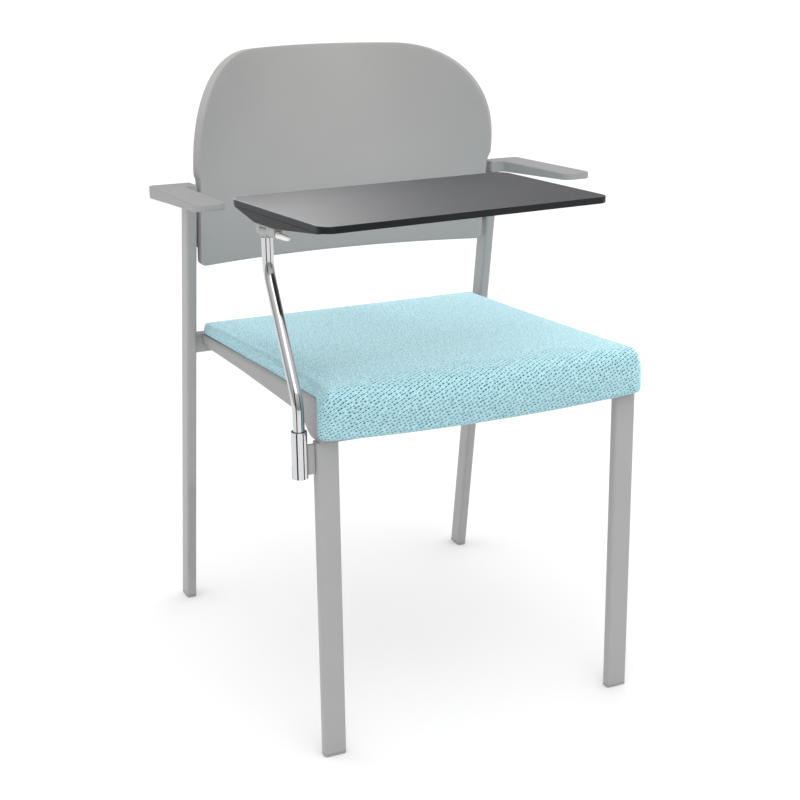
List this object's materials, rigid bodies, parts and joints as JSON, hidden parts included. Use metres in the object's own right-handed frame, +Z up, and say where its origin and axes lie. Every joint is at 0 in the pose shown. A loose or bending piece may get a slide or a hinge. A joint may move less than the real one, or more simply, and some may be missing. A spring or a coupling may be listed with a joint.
{
  "type": "chair with writing tablet",
  "caption": "Four-legged tube-frame chair with an upholstered seat, a curved back shell, open arms and a swivelling, fold-up writing tablet on a bent stem.",
  "frame": {"origin": "on the floor, under the middle of the overall box", "axes": "+Z up, the sitter faces -Y, +X to the sitter's left; the tablet's stem is on the -X side"},
  "size_m": [0.5846, 0.6279, 0.8535],
  "materials": {
    "frame_paint": "satin light grey powder coat",
    "grey_plastic": "fine-grained light grey moulding",
    "back_shell": "satin grey moulding",
    "seat_fabric": "pale turquoise weave with small dark flecks",
    "tablet_laminate": "anthracite laminate, satin",
    "black_plastic": "black moulding",
    "white_plastic": "white moulding",
    "chrome": "polished chrome plate",
    "zinc_steel": "zinc plate"
  },
  "bodies": {
    "chair": {"front_leg_left": "frame_paint", "rear_post_left": "frame_paint", "side_rail_left": "frame_paint", "backrest_bracket_left": "frame_paint", "front_foot_left": "grey_plastic", "rear_foot_left": "grey_plastic", "arm_left": "grey_plastic", "arm_screw_left": "zinc_steel", "seat_screw_front_left": "zinc_steel", "seat_screw_rear_left": "zinc_steel", "back_screw_lower_left": "zinc_steel", "back_screw_upper_left": "zinc_steel", "front_leg_right": "frame_paint", "rear_post_right": "frame_paint", "side_rail_right": "frame_paint", "backrest_bracket_right": "frame_paint", "front_foot_right": "grey_plastic", "rear_foot_right": "grey_plastic", "arm_right": "grey_plastic", "arm_screw_right": "zinc_steel", "seat_screw_front_right": "zinc_steel", "seat_screw_rear_right": "zinc_steel", "back_screw_lower_right": "zinc_steel", "back_screw_upper_right": "zinc_steel", "front_cross_rail": "frame_paint", "rear_cross_rail": "frame_paint", "seat_pan": "grey_plastic", "seat_cushion": "seat_fabric", "backrest_panel": "back_shell", "socket_sleeve": "chrome", "socket_bush": "black_plastic", "socket_plug": "black_plastic", "socket_plate": "frame_paint"},
    "stem_arm": {"tablet_stem": "chrome", "stop_pin": "zinc_steel", "stem_head": "frame_paint", "hinge_pin": "zinc_steel"},
    "tablet": {"hinge_leaf": "frame_paint", "leaf_screw_front": "zinc_steel", "leaf_screw_rear": "zinc_steel", "tablet_support": "black_plastic", "tablet_board": "tablet_laminate", "tablet_screw_rear_outer": "zinc_steel", "tablet_screw_front_outer": "zinc_steel", "tablet_screw_rear_inner": "zinc_steel", "tablet_screw_front_inner": "zinc_steel"},
    "knob": {"release_knob": "white_plastic"}
  },
  "joints": [
    {"name": "stem_swivel", "type": "hinge", "parent": "chair", "child": "stem_arm", "pos_m": [-0.246, -0.2577, 0.42], "axis": [0, 0, 1], "range_deg": [-160, 8]},
    {"name": "tablet_flip", "type": "hinge", "parent": "stem_arm", "child": "tablet", "pos_m": [-0.246, -0.1677, 0.675], "axis": [0.1564, -0.9877, 0], "range_deg": [0, 92]},
    {"name": "release_pull", "type": "slide", "parent": "tablet", "child": "knob", "axis": [0.1564, -0.9877, 0], "range_m": [0, 0.006], "stiffness_N_per_m": 300}
  ]
}
